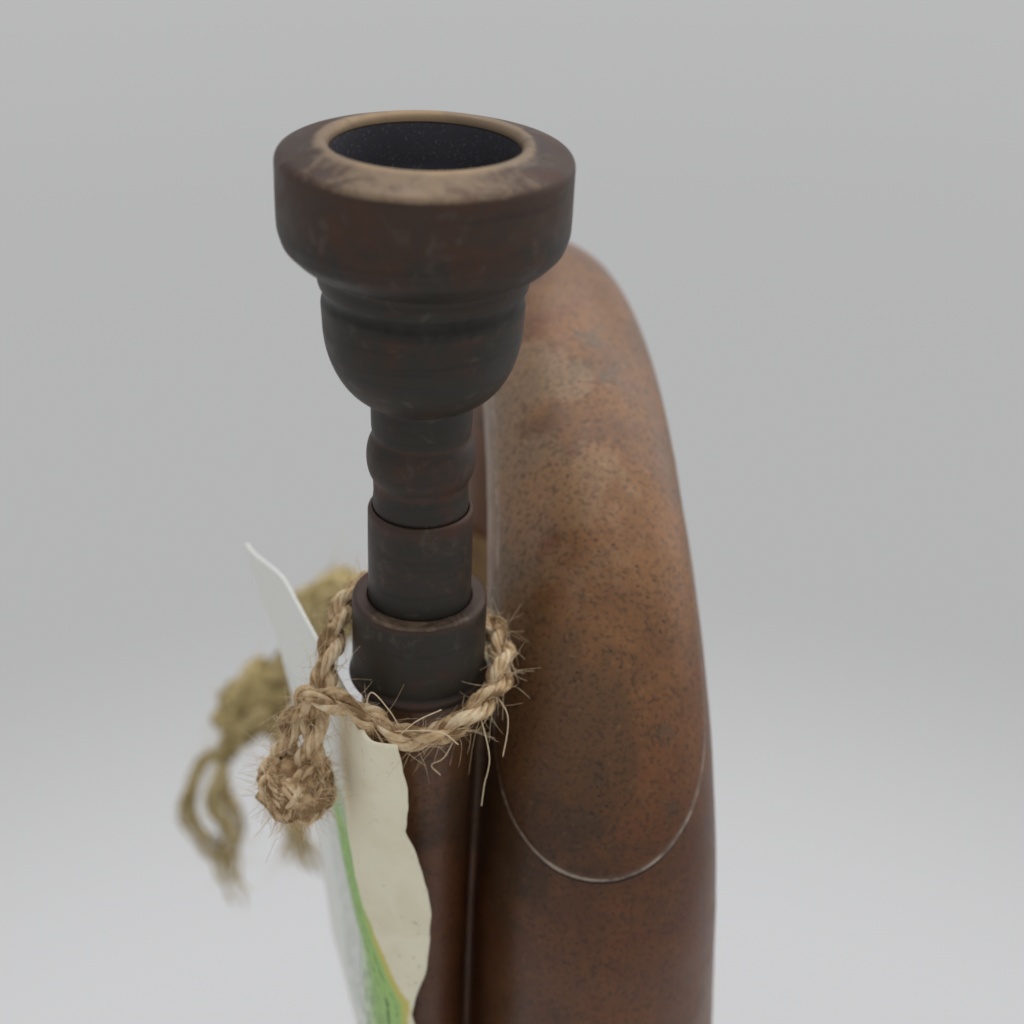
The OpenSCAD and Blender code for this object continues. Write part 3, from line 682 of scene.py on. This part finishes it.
def guard():
    """A thin sheet soldered over the outside of the bow, with a low line of solder round it and a dark line of
    painted shadow either side of the solder.
    """
    count = 420
    straight = GUARD_END - GUARD_START - 2 * GUARD_CAP
    # Going round the outline: near tip, right side, far tip, left side
    whole = 2 * straight + TURN * GUARD_CAP
    along = angles(count) / TURN * whole
    quarter = math.pi * GUARD_CAP / 2
    s = np.minimum(along, whole - along)
    near, far = np.minimum(s, quarter) / GUARD_CAP, np.maximum(s - quarter - straight, 0) / GUARD_CAP
    turns = (GUARD_START + GUARD_CAP * (1 - np.cos(near)) + np.clip(s - quarter, 0, straight)
             + GUARD_CAP * np.sin(far))
    shares = np.sin(near) * np.cos(far) * np.where(along < whole / 2, 1, -1)
    middle = lambda t: GUARD_DRIFT * np.minimum(1, (t - 30) / 60)
    half = GUARD_HALF + 1.6 * np.sin(turns / 9.0) * np.abs(shares)
    rounds = middle(turns) + shares * half
    from_turns = np.clip(turns, GUARD_START + GUARD_CAP, GUARD_END - GUARD_CAP)
    from_rounds = middle(from_turns)
    edge = on_bow(turns, rounds)
    reach = np.linalg.norm(edge - on_bow(from_turns, from_rounds), axis=1)
    depths = np.concatenate([np.linspace(0, 0.2, 3), 0.35 * np.linspace(1, 2.5, 3) ** 1.2])
    shares_in = [1 - d / reach for d in depths] + [f * (1 - depths[-1] / reach) for f in np.linspace(0.93, 0, 16)]

    def inward(f, lift):
        """The outline shrunk by f towards the guard's middle line."""
        return on_bow(from_turns + (turns - from_turns) * f, from_rounds + (rounds - from_rounds) * f, lift)

    edge_lift = lambda f: GUARD_THICK * np.sqrt(1 - np.clip(1 - (1 - f) * reach / 0.9, 0, 1) ** 2)
    rows = np.array([inward(f, edge_lift(f)) for f in shares_in])
    outward = unit(rows - bow_middle_near(rows))
    wave = noise_at(rows, 13, 13) * 0.12 + noise_at(rows, 5, 14) * 0.04
    fade = smooth(np.array([[np.mean((1 - f) * reach)] for f in shares_in]) / 3)
    rows = rows + outward * (np.clip(wave, -0.15, 0.15) * fade)[..., None]
    under = [inward(f, np.full(count, -0.25)) for f in (1.0, 0.9, 0.5, 0.0)]
    Shape().grid(np.concatenate([rows[::-1], np.array(under)])).piece(
        "bow_guard_skin", COPPER, "bugle", "copper", ["bow_guard"], weld=True)
    line = np.vstack([edge, edge[:1]])
    lift = unit(line - bow_middle_near(line))
    solder_and_shadow_lines = Shape()
    wander = 0.38 + 0.1 * noise_at(line, 2.5, 15)
    around = angles(10)[None, :, None]
    sideways = np.cross(tangents(line), lift)
    across = np.cos(around) * lift[:-1, None] + np.sin(around) * sideways[:-1, None]
    # The middle line is solder; the two lines beside it, with tint 0, are painted shadow
    for shift, share, tint in ((0.0, 1.0, 0.5), (0.55, 0.6, 0.0), (-0.55, 0.6, 0.0)):
        ring = (line + shift * sideways - (0.16 if shift else 0) * lift)[:-1, None]
        solder_and_shadow_lines.grid(ring + share * wander[:-1, None, None] * across, closed=True, shade=tint)
    solder_and_shadow_lines.piece("guard_solder_and_painted_shadow", SOLDER_AND_SHADOW, "bugle", "copper")


def bow_middle_near(points):
    """The nearest point of the upper bow's middle line, for each point near the bow."""
    flat = points.reshape(-1, 3)
    turns = np.linspace(0, 180, 361)
    middles = bow_points(turns)
    near = np.argmin(((flat[:, None] - middles[None]) ** 2).sum(-1), axis=1)
    return middles[near].reshape(points.shape)


# ---- turned fittings on the mouthpipe
def turned_piece(node, body, profile, shade, step, passes, place, wobble=0.03):
    """A piece of dark brass spun round the mouthpipe's axis. shade gives the wear at each radius and height."""
    name, sides = node + "_skin", 160
    outline = worn_profile(profile, step, passes)
    tints = shade(outline[:, 0], outline[:, 1])
    rows = turned(outline, sides)
    rows = swell(rows, noise_at(rows, 5, len(name)) * wobble)
    turn = np.arctan2(rows[..., 1], rows[..., 0])
    shades = np.repeat(tints[:, None], sides, axis=1)
    # Painted highlight: the worn parts are painted paler at the front and back and darker at the sides, for the glint
    # on the rim
    shades = shades - 0.08 * np.cos(2 * turn) * (shades > 0.68)
    shape = Shape().grid(place(rows), closed=True)
    shape.shades[-1] = shades.reshape(-1)
    shape.piece(name, DARK_BRASS, body, "dark_brass", [node])


def mouthpiece():
    outer = np.vstack([
        [(3.9, -23), (4.15, -22.6), (4.75, 0), (4.85, 0.3), (4.72, 1.5)], arc(4.2, 5.6, 1.2, 2.7, -62, 62, 16),
        [(4.9, 8.8), (4.95, 11.3)], arc(4, 20, 5.4, 8.2, -79, 0, 24),
        [(9.5, 21.8), (9.25, 22.5), (9.3, 23), (9.7, 23.6), (9.85, 24.5), (9.95, 25.4)],
        [(11.7, 26.4), (12.85, 27.6), (13.25, 29), (13.3, 30.6)], arc(12.3, 34.95, 1, 1, 0, 75, 10)])
    inner = np.vstack([
        arc(9.2, 36.15, 0.7, 0.7, 75, 180, 10), arc(0, 32.85, 8.3, 8.1, 0, -70, 24),
        [(2.1, 23.35), (2.1, 19.35), (3.35, -23)]])

    def shade(r, z):
        bands = ((-30, 0.3), (1, 0.3), (2.6, 0.4), (2.75, 0.66), (2.9, 0.44), (7.9, 0.44), (8.1, 0.66), (8.4, 0.3),
                 (11.6, 0.28), (11.9, 0.5), (12.2, 0.3), (17, 0.27), (20.4, 0.34), (21.2, 0.4), (22.3, 0.08),
                 (23.2, 0.08), (24.2, 0.34), (26.3, 0.26), (28.5, 0.34), (31, 0.46), (34.6, 0.5), (35.5, 0.76),
                 (36, 0.74), (36.6, 0.76), (36.8, 0.9))
        tone = np.interp(z, *zip(*bands))
        tone = np.where((z > 35) & (r < 9.6), 0.92, tone)
        inside = (z > 20) & (z < 35.9) & (r ** 2 / 8.6 ** 2 + np.clip(33 - z, 0, None) ** 2 / 8.4 ** 2 < 1.02)
        return np.where(inside, 0.0, tone)

    turned_piece("mouthpiece", "mouthpiece", np.vstack([outer, inner]), shade, 0.18, 3,
                 lambda rows: on_pipe(rows + [0, 0, SHANK_OUT]))


def tuning_shank():
    h = SHANK_OUT
    profile = [(4.06, -34), (5.3, -34), (5.3, h - 0.35), (5.05, h), (4.8, h), (4.16, h - 24), (4.06, h - 25)]
    bands = ((0, 0.16), (0.8, 0.3), (3, 0.42), (h - 2, 0.4), (h - 0.5, 0.5))
    shade = lambda r, z: np.where(z > h - 0.45, 0.66, np.interp(z, *zip(*bands)))
    turned_piece("tuning_shank", "tuning_shank", profile, shade, 0.2, 1, on_pipe, 0.02)


def collar():
    profile = np.vstack([
        [(6.1, -1.2), (5.34, -1.2), (5.34, 0)], arc(6.5, -0.5, 0.5, 0.5, 90, 0, 6),
        [(7, -8.9)], arc(6.9, -9.7, 0.5, 0.6, 60, -90, 8), [(6.1, -10.3)]])
    bands = ((-10.4, 0.3), (-9.2, 0.5), (-8.8, 0.16), (-7, 0.34), (-1, 0.36), (-0.4, 0.55))
    shade = lambda r, z: np.where(z > -0.3, 0.72, np.interp(z, *zip(*bands)))
    turned_piece("receiver_collar", "bugle", profile, shade, 0.15, 2, on_pipe, 0.03)


# ---- rope, hairs and card
def rope(shape, path, plies, radius, pitch, strands, seed, loose):
    """Twisted plies, each of several thin strands, along a path. loose lets the strands wander."""
    chance = random.Random(seed)
    s, u = side_frames(path)
    along = lengths(path)
    ply_r = radius * (0.52 if plies == 2 else 0.48)
    offset = radius - ply_r
    strand_r = ply_r * 0.42
    for k in range(plies):
        angle = TURN * (along / pitch + k / plies)
        ply = path + offset * (np.cos(angle)[:, None] * s + np.sin(angle)[:, None] * u)
        for j in range(strands):
            own = -TURN * along / (pitch * 0.8) + TURN * j / strands + chance.uniform(-0.2, 0.2)
            reach = (ply_r - strand_r * 0.8) * chance.uniform(0.85, 1.1)
            line = ply + reach * (np.cos(own)[:, None] * s + np.sin(own)[:, None] * u)
            for axis in range(3):
                line[:, axis] += loose * noise_at(path, radius * 2.5, seed + 3 * j + 31 * k + axis)
            thick = strand_r * (1 + 0.18 * noise_at(line, radius, seed + j))
            shape.tube(line, thick, 6, chance.uniform(0.15, 0.8))


def hairs(shape, path, radius, count, seed, length=(1.5, 4), thick=0.06, spread=1.0):
    """Loose fibres that stand off a rope."""
    chance = random.Random(seed)
    any_way = lambda: np.array([chance.gauss(0, 1) for _ in range(3)])
    t = tangents(path)
    for _ in range(count):
        k = chance.randrange(2, len(path) - 2)
        out = unit(any_way())
        out = unit(out - (out @ t[k]) * t[k])
        way = unit(out * chance.uniform(0.25, 1.0) * spread + t[k] * chance.choice((-1, 1)))
        bend = any_way() * 0.9 + np.array([0, 0, -0.3])
        reach = chance.uniform(*length)
        at = np.linspace(0, 1, 9)[:, None]
        line = path[k] + out * radius * 0.8 + way * reach * at + bend * reach * 0.7 * at ** 2
        shape.tube(line, thick * np.linspace(1.2, 0.5, 9), 4, chance.uniform(0.45, 1.1))


def blob(shape, centre, size, seed, axis=None, rough=0.12, shade=0.3):
    """A lumpy filling inside a knot, so that no light passes through it."""
    a = np.linspace(0.06, math.pi - 0.06, 28)
    b = angles(36)
    r, z = np.sin(a)[:, None], np.cos(a)[:, None]
    ball = np.stack([r * np.cos(b), r * np.sin(b), z + 0 * b], axis=-1)
    ball = ball * (1 + rough * noise_at(ball * 3, 1.0, seed))[..., None] * size
    if axis is not None:
        w = unit(np.array(axis, float))
        s = unit(np.cross([0, 1, 0], w))
        ball = ball @ np.array([s, np.cross(w, s), w])
    shape.grid(np.array(centre) + ball, capped=True, shade=shade)


def knot_path(size, turn):
    """A closed pretzel of rope round the origin. turn is a rotation matrix, size its half width each way."""
    t = np.linspace(0, TURN, 260)
    p = np.stack([np.sin(t) + 2 * np.sin(2 * t), np.cos(t) - 2 * np.cos(2 * t), -np.sin(3 * t)], axis=1) / [3, 3, 1]
    return (p * size) @ turn


def rotation(axis, degrees):
    return np.array(Matrix.Rotation(math.radians(degrees), 3, Vector(axis)))


def off_pipe(points, clear):
    """Moves points outwards from the mouthpipe's axis until they are clear of it."""
    r = np.hypot(points[..., 0], points[..., 1])
    grow = np.maximum(1, clear / np.maximum(r, 1e-6))
    return points * np.stack([grow, grow, grow * 0 + 1], axis=-1)


def twine():
    """Jute twine: up from the knot, once round the mouthpipe under the collar, and back down over the tag's top."""
    loop = [(-12.2, -8.4, -19.5), (-10.9, -8.6, -16.2), (-10.1, -7.4, -11.0), (-9.3, -4.4, -6.6), (-8.4, 0.4, -4.4),
            (-7.0, 4.6, -3.2), (-3.6, 8.0, -3.6), (0.6, 8.9, -5.0), (4.8, 7.6, -6.4), (7.9, 4.2, -7.2),
            (8.9, 0, -7.8), (7.9, -4.6, -9.0), (4.9, -8.0, -10.3), (1.7, -9.4, -11.4), (-1.6, -9.4, -11.4),
            (-4.6, -8.6, -9.9), (-7.6, -8.4, -8.3), (-10.6, -7.2, -8.6), (-12.4, -6.6, -11.6), (-13.4, -7.0, -15.0),
            (-13.8, -7.6, -18.6)]
    path = even(curve(loop, 900), 420)
    path = off_pipe(path, np.where(path[:, 2] > -12, 8.35, 7.5))
    path[:, 0] += 0.18 * noise_at(path, 3, 3)
    path[:, 2] += 0.18 * noise_at(path, 3, 4)
    world = on_pipe(path)
    shape = Shape()
    rope(shape, world, 2, 1.42, 8.5, 7, 5, 0.22)
    hairs(shape, world, 1.2, 900, 6, (0.8, 3.2), 0.028, 0.5)
    strays = [[(8.2, -4.5, -9.4), (9.4, -6.6, -10), (9.6, -7.6, -11.5), (9.2, -9, -14)],
              [(6.6, -6.8, -10), (7.8, -9.6, -13.5), (7.4, -10, -17), (7.2, -10, -19.8)],
              [(4.5, -9, -11), (3.2, -10, -13.5), (1.9, -9.5, -15), (2.8, -9, -16.7)],
              [(-2, -10, -10.4), (0.5, -11, -9.4), (3.0, -11, -9.6), (4.6, -11, -11)],
              [(-5, -9, -9), (-4.2, -10, -5.6), (-2.4, -10, -7.8), (-1.4, -9.6, -10.2)],
              [(-1.5, -10, -11), (0.4, -11, -8.2), (2.8, -10.6, -7.0)]]
    for points in strays:
        shape.tube(on_pipe(curve(points, 24)), 0.06, 5, 0.95)
    obj = shape.piece("twine_strands", JUTE, None, "jute_twine", ["twine_loop", "twine_knot"])
    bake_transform(obj)

    ball = np.array([-12.3, -8.3, -19.3])
    shape = Shape()
    blob(shape, on_pipe(ball), [3.9, 3.5, 3.3], 8, rough=0.25, shade=0.2)
    for seed, axis, degrees, size in ((1, (1, 0, 0), 20, (3.4, 2.9, 2.2)), (2, (0, 1, 0.4), 75, (3.0, 3.1, 2.3)),
                                      (3, (1, 1, 0), 110, (3.2, 3.0, 2.0))):
        path = on_pipe(ball + knot_path(size, rotation(axis, degrees)))
        rope(shape, path, 2, 1.15, 6.5, 5, 20 + seed, 0.3)
        hairs(shape, path, 1.1, 420, 40 + seed, (0.8, 2.6), 0.028, 0.35)
    shape.piece("twine_ball", JUTE, "tag", "jute_twine")


def tag():
    """The paper tag: a cream margin curled round in front of the mouthpipe, and the printed card behind it."""
    zs = np.linspace(-9.5, -77, 150)
    table = lambda *pairs: np.interp(-zs, *zip(*pairs))
    near_x = table((9, -1.6), (14.5, -0.7), (19, -0.4), (22.6, -0.7), (26.7, 0.7), (33, 2.1), (38.4, 2.3),
                   (44, 1.6), (47.8, 0.6), (50, 0.4), (56, 1.4), (64, 0.9), (70, 1.8), (77, 1.0))
    bend_x = table((9, -7.4), (16, -7.7), (26.5, -7.6), (36, -6.6), (43.8, -5.4), (48.5, -4.2), (56.8, -3.0),
                   (77, -2.2))
    bend_y = table((9, -4.5), (30, -4.7), (44, -6.0), (57, -7.6), (77, -8.2))
    back_x = table((9, -20.8), (19.7, -20.4), (25.7, -18.9), (33.5, -17.6), (45, -16), (59, -14.7), (77, -12.8))
    print_at = table((9, 2.2), (23, -0.7), (33, -4.0), (41, -6.1), (48, -7.1), (56, -6.4), (77, -6.0))
    wear = 0.25 * noise_at(upright(0, 0, zs), 2.5, 21)
    across_count = 110
    rows, across, down = [], [], []
    for k, z in enumerate(zs):
        near = np.array([near_x[k] + wear[k], -11.0])
        bend = np.array([bend_x[k], bend_y[k]])
        back = np.array([back_x[k], 26.5])
        way = unit(back - bend)
        elbow = bend - way * 4.2
        front = np.array([(near[0] + elbow[0]) / 2 - 0.6, -10.9 + 0.2 * math.sin(z / 7)])
        flat = curve([near, front, elbow, bend, bend + way * 7, bend + way * 16, back], 240)
        steps = lengths(flat)
        at_bend = steps[np.argmin(np.linalg.norm(flat - bend, axis=1))]
        rows.append(np.column_stack([even(flat, across_count), np.full(across_count, z)]))
        across.append(np.linspace(0, steps[-1], across_count) - at_bend - print_at[k])
        down.append(np.full(across_count, zs[0] - z))
    rows, across, down = np.array(rows), np.array(across), np.array(down)
    # The top edge is cut at a slant on the margin, and the far top corner curls away
    u = np.linspace(0, 1, across_count)[None, :]
    top = smooth(1 - down / 16)
    slant = np.clip((0.2 - u) / 0.2, 0, 1)
    rows[..., 2] -= top * slant * 1.9
    curl = smooth((u - 0.72) / 0.28) * smooth(1 - down / 13)
    rows[..., 0] -= curl * 1.6
    rows[..., 2] -= curl * 1.6
    rows[..., 0] += 0.22 * noise_at(rows, 14, 22) * smooth(down / 6)
    rows = off_pipe(rows, np.where(rows[..., 2] > -12, 7.6, 6.6))
    Shape.sheet(on_pipe(rows), 0.36, "tag_card_sheet", CARD, "tag", "tag_card", ["price_tag"],
                across=across, down=down)


def cord_loops(shape, centre, size, turns, seed, stretch=np.eye(3)):
    """The loops of one knot in the cord, each turned about an axis by some degrees."""
    for k, (axis, degrees) in enumerate(turns):
        path = centre + knot_path(size, rotation(axis, degrees)) @ stretch
        rope(shape, path, 3, 1.9, 11, 4, seed + k, 0.25)
        hairs(shape, path, 1.9, 70, seed + 4 + k)


def cord():
    """Soft olive cord, wound round the return tube, knotted twice and frayed at both ends."""
    low, high = box_mm("cord_wraps")
    thick = (high[2] - low[2]) / 8.15
    radius = (high[0] - low[0]) / 2 - thick
    a = np.linspace(0, 4 * TURN, 460)
    z = low[2] + thick + (high[2] - low[2] - 2 * thick) * a / a[-1]
    path = np.stack([FAR_X - radius * np.cos(a), FAR_Y - radius * np.sin(a), z], axis=1)
    path[:, 2] += 0.35 * noise_at(path, 9, 50)
    shape = Shape()
    rope(shape, path, 3, thick, 12, 5, 51, 0.15)
    hairs(shape, path, thick, 150, 52)
    shape.piece("cord_wraps_rope", OLIVE, "bugle", "shoulder_cord", ["cord_wraps"])

    knot = np.array([-42.6, FAR_Y - 2, BOW_Z - 25])
    bight = middle_of("cord_bight")
    shape = Shape()
    start = np.array([FAR_X - radius, FAR_Y - 2, high[2] - 4])
    for k, (rise, out) in enumerate(((2.0, -2.0), (-2.6, 1.4))):
        link = curve([start + [2, 2 * out, rise], start + [-6, out, rise + 1], knot + [8, out, rise + 2],
                      knot + [2, 0, 1]], 90)
        rope(shape, link, 3, 2.1, 11, 4, 60 + k, 0.2)
        hairs(shape, link, 2.0, 40, 64 + k)
    blob(shape, knot, [6.0, 6.2, 8.6], 66, axis=(0.66, 0, 0.75))
    cord_loops(shape, knot, (5.9, 6.2, 4.4), (((1, 0, 0), 80), ((0.3, 1, 0.2), 50), ((0, 0.4, 1), 100)), 70)
    shape.piece("cord_knot_rope", OLIVE, "bugle", "shoulder_cord", ["cord_knot"])

    shape = Shape()
    for k, out in enumerate((-1.4, 1.6)):
        link = curve([knot + [-1, out, -3], knot + [-8, out, -10], bight + [4, out, 6], bight + [1, 0, 1]], 80)
        rope(shape, link, 3, 2.2, 11, 4, 80 + k, 0.2)
    for k, (x, z) in enumerate(((-66.3, 267.2), (-54.9, 272.6))):
        start, end = bight + [3 * k - 1.5, 0, -2], np.array([x, bight[1], z])
        link = curve([start, start + (end - start) * 0.55 + [0.6 - 1.2 * k, 0.8, 0], end], 60)
        rope(shape, link, 3, 2.5, 11, 5, 95 + k, 0.3)
        hairs(shape, link, 2.2, 40, 98 + k)
    hang = (0.62, 0, 0.78)
    blob(shape, bight, [5.2, 5.4, 9.0], 82, hang)
    cord_loops(shape, bight, (5.0, 5.3, 4.2), (((1, 0.2, 0), 75), ((0.3, 1, 0.2), 140)), 84,
               np.eye(3) + 0.35 * np.outer(hang, hang))
    shape.piece("cord_bight_rope", OLIVE, "bugle", "shoulder_cord", ["cord_bight"])

    y = knot[1]
    ends = {
        "long_fringe": [
            [(-65.5, y, 268), (-71, y + 1, 264), (-74.8, y, 252), (-70.6, y, 241.5), (-65.6, y, 227)],
            [(-66.0, y - 1, 266), (-69.2, y - 2, 257), (-67.2, y, 246), (-68.6, y + 1, 233)],
            [(-66.8, y, 268), (-67.6, y + 2, 256), (-66.4, y + 2, 248), (-69.0, y + 2, 238)]],
        "short_fringe": [
            [(-54.9, y, 274), (-53.8, y, 260), (-52.8, y, 245), (-48.3, y, 236.2)],
            [(-55.4, y + 1, 273), (-55.0, y + 1, 258), (-53.8, y, 246), (-56.0, y, 239)]]}
    for n, (body, lines) in enumerate(ends.items()):
        shape = Shape()
        chance = random.Random(90 + n)
        for k, points in enumerate(lines):
            count = 110
            path = even(curve(points, 200), count)
            s, u = side_frames(path)
            fan = smooth(np.linspace(0, 1.3, count))
            for j in range(9):
                angle = TURN * j / 9 + np.linspace(0, 5, count)
                reach = 0.8 + fan * chance.uniform(0.2, 1.5)
                line = path + (reach * np.cos(angle))[:, None] * s + (reach * np.sin(angle))[:, None] * u
                for axis in range(3):
                    line[:, axis] += (0.15 + 0.8 * fan) * noise_at(path, 5, 100 + 10 * n + 5 * k + j + axis)
                keep = int(count * chance.uniform(0.82, 1.0))
                shape.tube(line[:keep], 0.5 * np.linspace(1, 0.45, keep), 6, chance.uniform(0.1, 0.8))
            hairs(shape, path, 1.0, 50, 120 + 10 * n + k, (1.5, 4.5), 0.06)
        shape.piece(body + "_strands", OLIVE, body, "shoulder_cord", [body])


for build in (upper_bow, return_tube, lower_bow, bell, mouthpipe, pipe_seam, guard, mouthpiece, tuning_shank,
              collar, twine, tag, cord):
    build()

# ---- CAD nodes that keep their shape
FINISH = {"copper": COPPER, "dark_brass": DARK_BRASS, "brass": BRASS}
slots = {s["node"]: s["material_slot"] for s in frame["record"]["subparts"]}
for name, node in frame["nodes"].items():
    look = FINISH.get(slots[name])
    if look is None or node.hide_render:
        continue
    node.data.materials.clear()
    node.data.materials.append(look)
    for polygon in node.data.polygons:
        polygon.material_index = 0


# ---- stage, light and camera
def stage():
    """A pale floor under a bright room, painted brighter near the horn and darker away from it as a painted pool of
    light.
    """
    bpy.ops.mesh.primitive_circle_add(vertices=128, radius=9, fill_type="NGON", location=(0, 0, -0.0005))
    floor = bpy.context.object
    floor.name = "floor"
    look = Look("pale_floor")
    reach = look.node("VectorMath", {0: look.place}, operation="LENGTH")["Value"]
    # Painted light: brighter near the horn, darker further out, a little lighter again far away
    colour = look.mix(look.between(reach, 0.3, 0.6), rgb(211, 211, 211), rgb(185, 185, 184))
    colour = look.mix(look.between(reach, 0.8, 2.4), colour, rgb(190, 190, 189))
    floor.data.materials.append(look.finish(colour, 0.9, Specular_IOR_Level=0.0))

    world = bpy.data.worlds.new("studio")
    bpy.context.scene.world = world
    world.use_nodes = True
    background = world.node_tree.nodes["Background"]
    background.inputs["Color"].default_value = rgb(236, 237, 240)
    background.inputs["Strength"].default_value = 0.55

    # A wide soft light from above, and a weaker one from a window on the right
    for name, width, energy, way in (("overhead", 75, 1.5, (-0.25, -0.4, -1.0)),
                                     ("window", 50, 0.55, (-1.0, -0.55, -0.3))):
        lamp = bpy.data.lights.new(name, "SUN")
        lamp.angle = math.radians(width)
        lamp.energy = energy
        added(name, lamp).rotation_euler = Vector(way).to_track_quat("-Z", "Y").to_euler()


def camera():
    """Level, 30 degrees down, close above the mouthpiece, with a shallow focus."""
    data = bpy.data.cameras.new("camera")
    data.sensor_width = 36
    data.lens = CAMERA_LENS
    obj = added("camera", data)
    obj.location = (CAMERA_X * MM, CAMERA_Y * MM, (COLLAR_TOP[2] + CAMERA_ABOVE_COLLAR) * MM)
    obj.rotation_euler = (math.radians(60), 0, 0)
    bpy.context.scene.camera = obj
    focus = added("focus", None)
    focus.location = Vector(on_pipe([0, -6, 10]) * MM)
    data.dof.use_dof = True
    data.dof.focus_object = focus
    data.dof.aperture_fstop = 20


stage()
camera()
bpy.context.scene.view_settings.view_transform = "Standard"
